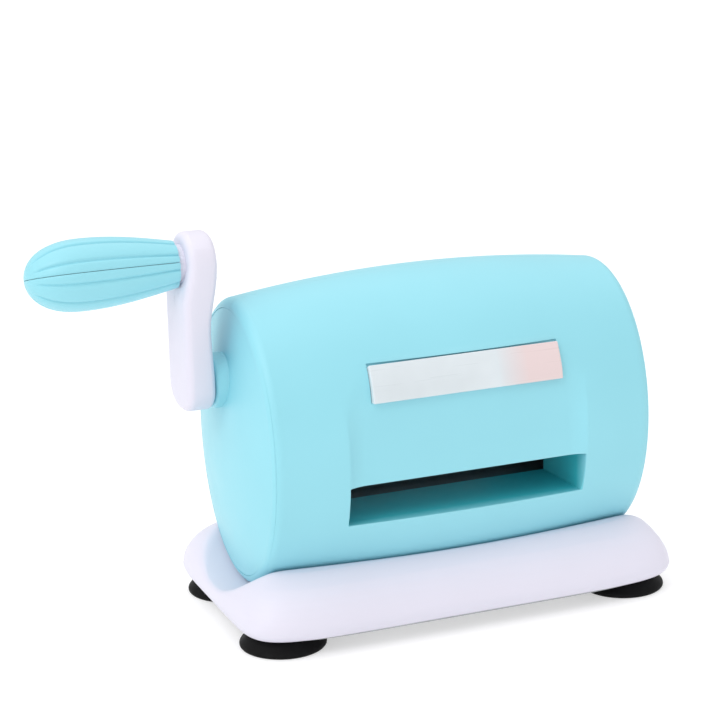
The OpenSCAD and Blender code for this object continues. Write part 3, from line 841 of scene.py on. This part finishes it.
def blend_colours(tree, factor, first, second):
    """Mixes two colours, each a tuple or a socket, by a factor socket."""
    mix = tree.nodes.new("ShaderNodeMix")
    mix.data_type = "RGBA"
    tree.links.new(factor, mix.inputs["Factor"])
    for socket, value in ((mix.inputs["A"], first), (mix.inputs["B"], second)):
        if isinstance(value, (tuple, list)):
            socket.default_value = (*value[:3], 1)
        else:
            tree.links.new(value, socket)
    return mix.outputs["Result"]


def shaded(colour, amount):
    return tuple(min(1, c * amount) for c in colour)


def moulded(name, colour, rough, grain, specular=0.5, wear=0.06, deep=None):
    """Injection-moulded plastic: fine spark-eroded grain, faint flow marks, edges lightened by
    wear. Given a deep colour, it also has painted shade, darkening towards that colour deeper into
    the feed slot.
    """
    material, tree, shader, coords = node_material(name)
    if tree is None:
        return material
    patches = remap(tree, speckle(tree, coords, 28, 2), 0.3, 0.7, 0, 1)
    base = blend_colours(tree, patches, shaded(colour, 0.985), shaded(colour, 1.012))
    geometry = tree.nodes.new("ShaderNodeNewGeometry")
    edge = remap(tree, geometry.outputs["Pointiness"], 0.52, 0.60, 0, wear)
    wear_and_slot_shade = blend_colours(tree, edge, base, tuple(0.5 + 0.5 * c for c in colour))
    # Painted shade: the colour darkens to the deep colour further into the feed slot, standing in
    # for the shade there.
    if deep:
        wear_and_slot_shade = blend_colours(tree, painted_slot_shade_mask(tree, coords), wear_and_slot_shade, deep)
    tree.links.new(wear_and_slot_shade, shader.inputs["Base Color"])
    scuffs = speckle(tree, coords, 140, 5)
    tree.links.new(remap(tree, scuffs, 0.3, 0.7, rough - 0.03, rough + 0.04),
                   shader.inputs["Roughness"])
    shader.inputs["Specular IOR Level"].default_value = specular
    add_bump(tree, shader, speckle(tree, coords, 2600, 2), grain)
    return material


def painted_slot_shade_mask(tree, coords):
    """Mask of the painted shade in the feed slot: 0 at its mouth and 1 a few millimetres inside it.
    """
    depth = tree.nodes.new("ShaderNodeMath")
    depth.operation = "ABSOLUTE"
    tree.links.new(position(tree, coords, "Y"), depth.inputs[0])
    return remap(tree, depth.outputs["Value"], 37.6 * MM, 31.5 * MM, 0, 1)


def barrel_plastic():
    return moulded("satin_aqua_plastic", tuple(colours().barrel), 0.40, 0.35, specular=0.5)


def slot_painted_shade_plastic():
    # The barrel's plastic with painted shade, darker deeper into the feed slot.
    return moulded("aqua_plastic_painted_slot_shade", tuple(colours().barrel), 0.5, 0.35, specular=0.25,
                   wear=0.0, deep=tuple(colours().slot))


def base_plastic():
    return moulded("satin_white_plastic", tuple(colours().base), 0.45, 0.3, specular=0.45)


def label_finish():
    """Pale printed film that warms towards its right end, over fine horizontal brushing."""
    material, tree, shader, coords = node_material("label_film")
    if tree is None:
        return material
    left = (MIDDLE_X + LABEL_X[0] - LABEL_X[1]) * MM
    span = 2 * LABEL_X[1] * MM
    fade = remap(tree, position(tree, coords, "X"), left + span * 0.66, left + span * 0.82, 0, 0.95)
    patches = remap(tree, speckle(tree, coords, 60, 2), 0.35, 0.65, 0, 1)
    pale = tuple(colours().label)
    ground = blend_colours(tree, patches, shaded(pale, 0.95), shaded(pale, 1.03))
    tree.links.new(blend_colours(tree, fade, ground, tuple(colours().label_tint)),
                   shader.inputs["Base Color"])
    brush = streaks(tree, coords, (40, 40, 1800))
    add_bump(tree, shader, brush, 0.02)
    tree.links.new(remap(tree, brush, 0.3, 0.7, 0.26, 0.36), shader.inputs["Roughness"])
    return material


def rubber():
    """Black moulded rubber, dusty in patches."""
    material, tree, shader, coords = node_material("foot_rubber")
    if tree is None:
        return material
    dust = speckle(tree, coords, 260, 6)
    amount = remap(tree, dust, 0.55, 0.85, 0, 0.2)
    tree.links.new(blend_colours(tree, amount, tuple(colours().rubber), (0.03, 0.03, 0.03)),
                   shader.inputs["Base Color"])
    tree.links.new(remap(tree, dust, 0.3, 0.7, 0.5, 0.65), shader.inputs["Roughness"])
    shader.inputs["Specular IOR Level"].default_value = 0.12
    add_bump(tree, shader, speckle(tree, coords, 1800, 2), 0.2, 0.03 * MM)
    return material


def metal(name, colour, rough, stretch):
    """Machined metal or bearing bronze: turning marks round the X axis, and a faint stain."""
    material, tree, shader, coords = node_material(name)
    if tree is None:
        return material
    marks = streaks(tree, coords, stretch, 4)
    patches = remap(tree, speckle(tree, coords, 90, 4), 0.35, 0.7, 0, 1)
    tree.links.new(blend_colours(tree, patches, shaded(colour, 0.88), shaded(colour, 1.04)),
                   shader.inputs["Base Color"])
    shader.inputs["Metallic"].default_value = 1
    tree.links.new(remap(tree, marks, 0.3, 0.7, rough - 0.08, rough + 0.1),
                   shader.inputs["Roughness"])
    add_bump(tree, shader, marks, 0.12)
    return material


def turned_steel():
    return metal("turned_steel", (0.30, 0.31, 0.33), 0.42, (3500, 120, 120))


def stamped_steel():
    return metal("zinc_plated_steel", (0.42, 0.43, 0.45), 0.45, (700, 700, 60))


def bronze():
    return metal("bearing_bronze", (0.58, 0.40, 0.18), 0.4, (2600, 200, 200))


def natural_nylon():
    return moulded("natural_nylon", (0.72, 0.70, 0.62), 0.5, 0.4, wear=0.0)


CARRIED = {
    "turned_steel": ["upper_roller", "upper_shaft", "lower_roller", "lower_shaft", "crank_shaft",
                     "rod_front_top", "rod_front_low", "rod_rear_top", "rod_rear_low"],
    "stamped_steel": ["base_plate", "foot_screws", "base_screws", "crank_side_plate",
                      "gear_side_plate", "rod_screws", "upper_clips", "lower_clips",
                      "crank_clip", "spindle_washer", "spindle_screw"],
    "bronze": ["upper_left_bush", "upper_right_bush", "lower_left_bush", "lower_right_bush",
               "crank_plate_bush", "crank_cap_bush"],
    "natural_nylon": ["rod_spacers", "drive_gear", "upper_sync_gear", "lower_sync_gear",
                      "drive_pinion"],
}


def finish_carried():
    makers = {"turned_steel": turned_steel, "stamped_steel": stamped_steel, "bronze": bronze,
              "natural_nylon": natural_nylon}
    for kind, names in CARRIED.items():
        material = makers[kind]()
        for name in names:
            node = frame["nodes"][name]
            if not node.material_slots:
                node.data.materials.append(material)
            for slot in node.material_slots:
                slot.material = material


# ---- Stage ----

VIEW_TURN = math.radians(-21.52)
VIEW_RISE = math.radians(15.77)
VIEW_ROLL = math.radians(-1.363)
VIEW_DISTANCE = 0.72656
VIEW_TARGET = (0.005556, 0.0, 0.08001)
VIEW_LENS = 114.65
KEY_PLACE = (-0.6, -0.45, 0.8)
KEY_AIM = (0.0, 0.0, 0.06)
KEY_SIZE = 0.3
KEY_POWER = 1.2
FLOOR_HALF = 4
FLOOR_GLOW = 0.48
SKY_LEVEL = 0.76
# Where each soft patch of the sky is, the angles where it is full and gone, and its strength
SKY_PATCHES = [((-0.9, -0.3, 0.7), 10, 45, 0.6), ((0.0, 0.2, 1.0), 15, 55, 0.75)]


def make_floor():
    """A wide sheet of pale paper, lit a little from below as on a light table."""
    bm = bmesh.new()
    bmesh.ops.create_grid(bm, x_segments=1, y_segments=1, size=FLOOR_HALF)
    mesh = bpy.data.meshes.new("studio_floor")
    bm.to_mesh(mesh)
    bm.free()
    floor = bpy.data.objects.new("studio_floor", mesh)
    bpy.context.scene.collection.objects.link(floor)
    material, tree, shader, coords = node_material("studio_paper")
    if tree is not None:
        pale = tuple(colours().floor)
        fibre = speckle(tree, coords, 6, 3)
        tree.links.new(blend_colours(tree, fibre, shaded(pale, 0.995), pale),
                       shader.inputs["Base Color"])
        shader.inputs["Roughness"].default_value = 0.9
        shader.inputs["Specular IOR Level"].default_value = 0.1
        shader.inputs["Emission Color"].default_value = (1, 1, 1, 1)
        shader.inputs["Emission Strength"].default_value = FLOOR_GLOW
    mesh.materials.append(material)


def make_key():
    """A small soft light at the upper left, for a gentle gleam on the plastic."""
    data = bpy.data.lights.new("key", "AREA")
    data.size = KEY_SIZE
    data.energy = KEY_POWER
    light = bpy.data.objects.new("key", data)
    light.location = KEY_PLACE
    light.rotation_euler = (Vector(KEY_AIM) - Vector(KEY_PLACE)).to_track_quat("-Z", "Y").to_euler()
    bpy.context.scene.collection.objects.link(light)


def make_camera():
    data = bpy.data.cameras.new("view")
    data.lens = VIEW_LENS
    data.sensor_width = 36
    data.clip_start, data.clip_end = 0.01, 20
    camera = bpy.data.objects.new("view", data)
    back = Vector((math.sin(VIEW_TURN) * math.cos(VIEW_RISE),
                   -math.cos(VIEW_TURN) * math.cos(VIEW_RISE), math.sin(VIEW_RISE)))
    camera.location = Vector(VIEW_TARGET) + back * VIEW_DISTANCE
    camera.rotation_mode = "QUATERNION"
    aim = (-back).to_track_quat("-Z", "Y")
    camera.rotation_quaternion = aim @ Matrix.Rotation(VIEW_ROLL, 3, "Z").to_quaternion()
    bpy.context.scene.collection.objects.link(camera)
    bpy.context.scene.camera = camera


def glow(tree, direction, aim, inner, outer, strength):
    """A soft patch of light in the sky: full within inner degrees of the aim, none past outer."""
    dot = tree.nodes.new("ShaderNodeVectorMath")
    dot.operation = "DOT_PRODUCT"
    tree.links.new(direction, dot.inputs[0])
    dot.inputs[1].default_value = Vector(aim).normalized()
    patch = tree.nodes.new("ShaderNodeMapRange")
    patch.interpolation_type = "SMOOTHSTEP"
    patch.inputs["From Min"].default_value = math.cos(math.radians(outer))
    patch.inputs["From Max"].default_value = math.cos(math.radians(inner))
    patch.inputs["To Max"].default_value = strength
    tree.links.new(dot.outputs["Value"], patch.inputs["Value"])
    return patch.outputs["Result"]


def make_world():
    """An even white sky with two soft brighter patches, at the left and overhead."""
    world = bpy.data.worlds.new("studio")
    world.use_nodes = True
    tree = world.node_tree
    background = tree.nodes["Background"]
    background.inputs["Color"].default_value = (1, 1, 1, 1)
    direction = tree.nodes.new("ShaderNodeTexCoord").outputs["Generated"]
    total = None
    for aim, inner, outer, strength in SKY_PATCHES:
        patch = glow(tree, direction, aim, inner, outer, strength)
        add = tree.nodes.new("ShaderNodeMath")
        add.operation = "ADD"
        tree.links.new(patch, add.inputs[0])
        add.inputs[1].default_value = SKY_LEVEL
        if total:
            tree.links.new(total, add.inputs[1])
        total = add.outputs["Value"]
    tree.links.new(total, background.inputs["Strength"])
    bpy.context.scene.world = world
    bpy.context.scene.view_settings.view_transform = "Standard"


# ---- Operators ----

class BuildHousing(bpy.types.Operator):
    """Build both halves of the barrel's housing"""
    bl_idname = "die_cutter.build_housing"
    bl_label = "Housing"

    def execute(self, context):
        build_shell("housing_front", "front_shell", False)
        build_shell("housing_rear", "rear_shell", True)
        return {"FINISHED"}


class BuildCaps(bpy.types.Operator):
    """Build the two domed end caps"""
    bl_idname = "die_cutter.build_caps"
    bl_label = "End caps"

    def execute(self, context):
        build_end_cap("end_cap_crank", -1, "crank_side_cap", True)
        build_end_cap("end_cap_plain", 1, "plain_side_cap", False)
        return {"FINISHED"}


class BuildLabel(bpy.types.Operator):
    """Build the blank label strip"""
    bl_idname = "die_cutter.build_label"
    bl_label = "Label"

    def execute(self, context):
        build_label()
        return {"FINISHED"}


class BuildBase(bpy.types.Operator):
    """Build the flared base that cradles the barrel"""
    bl_idname = "die_cutter.build_base"
    bl_label = "Base"

    def execute(self, context):
        build_base()
        return {"FINISHED"}


class BuildFeet(bpy.types.Operator):
    """Build the four suction feet"""
    bl_idname = "die_cutter.build_feet"
    bl_label = "Feet"

    def execute(self, context):
        for place in ("front_left", "front_right", "rear_left", "rear_right"):
            build_foot(place)
        return {"FINISHED"}


class BuildCrank(bpy.types.Operator):
    """Build the crank's arm and the collar of its grip"""
    bl_idname = "die_cutter.build_crank"
    bl_label = "Crank"

    def execute(self, context):
        build_arm()
        build_collar()
        return {"FINISHED"}


class BuildGrip(bpy.types.Operator):
    """Build the two halves of the lobed grip"""
    bl_idname = "die_cutter.build_grip"
    bl_label = "Grip"

    def execute(self, context):
        build_grip_half("grip_half_upper", "grip_upper_half", False)
        build_grip_half("grip_half_lower", "grip_lower_half", True)
        return {"FINISHED"}


class FinishWorks(bpy.types.Operator):
    """Give the rollers, gears, plates and screws their finishes"""
    bl_idname = "die_cutter.finish_works"
    bl_label = "Inner works"

    def execute(self, context):
        finish_carried()
        return {"FINISHED"}


class SetStage(bpy.types.Operator):
    """Set the floor, lights, world and camera"""
    bl_idname = "die_cutter.set_stage"
    bl_label = "Stage"

    def execute(self, context):
        make_floor()
        make_key()
        make_camera()
        make_world()
        return {"FINISHED"}


STEPS = (BuildHousing, BuildCaps, BuildLabel, BuildBase, BuildFeet, BuildCrank, BuildGrip,
         FinishWorks, SetStage)


class DieCutterPanel(bpy.types.Panel):
    """Lists the pieces, their sizes and their colours"""
    bl_idname = "VIEW3D_PT_die_cutter"
    bl_label = "Die Cutting Machine"
    bl_space_type = "VIEW_3D"
    bl_region_type = "UI"
    bl_category = "Die Cutter"

    def draw(self, context):
        for group in (context.scene.die_cutter_sizes, context.scene.die_cutter_colours):
            for name in group.bl_rna.properties.keys():
                if name not in ("rna_type", "name"):
                    self.layout.prop(group, name)
        for step in STEPS:
            self.layout.operator(step.bl_idname)


CLASSES = (DieCutterColours, DieCutterSizes, *STEPS, DieCutterPanel)


def register():
    for cls in CLASSES:
        bpy.utils.register_class(cls)
    bpy.types.Scene.die_cutter_colours = bpy.props.PointerProperty(type=DieCutterColours)
    bpy.types.Scene.die_cutter_sizes = bpy.props.PointerProperty(type=DieCutterSizes)


def unregister():
    del bpy.types.Scene.die_cutter_sizes
    del bpy.types.Scene.die_cutter_colours
    for cls in reversed(CLASSES):
        bpy.utils.unregister_class(cls)


def main():
    register()
    for step in STEPS:
        group, name = step.bl_idname.split(".")
        getattr(getattr(bpy.ops, group), name)()


if __name__ == "__main__":
    main()
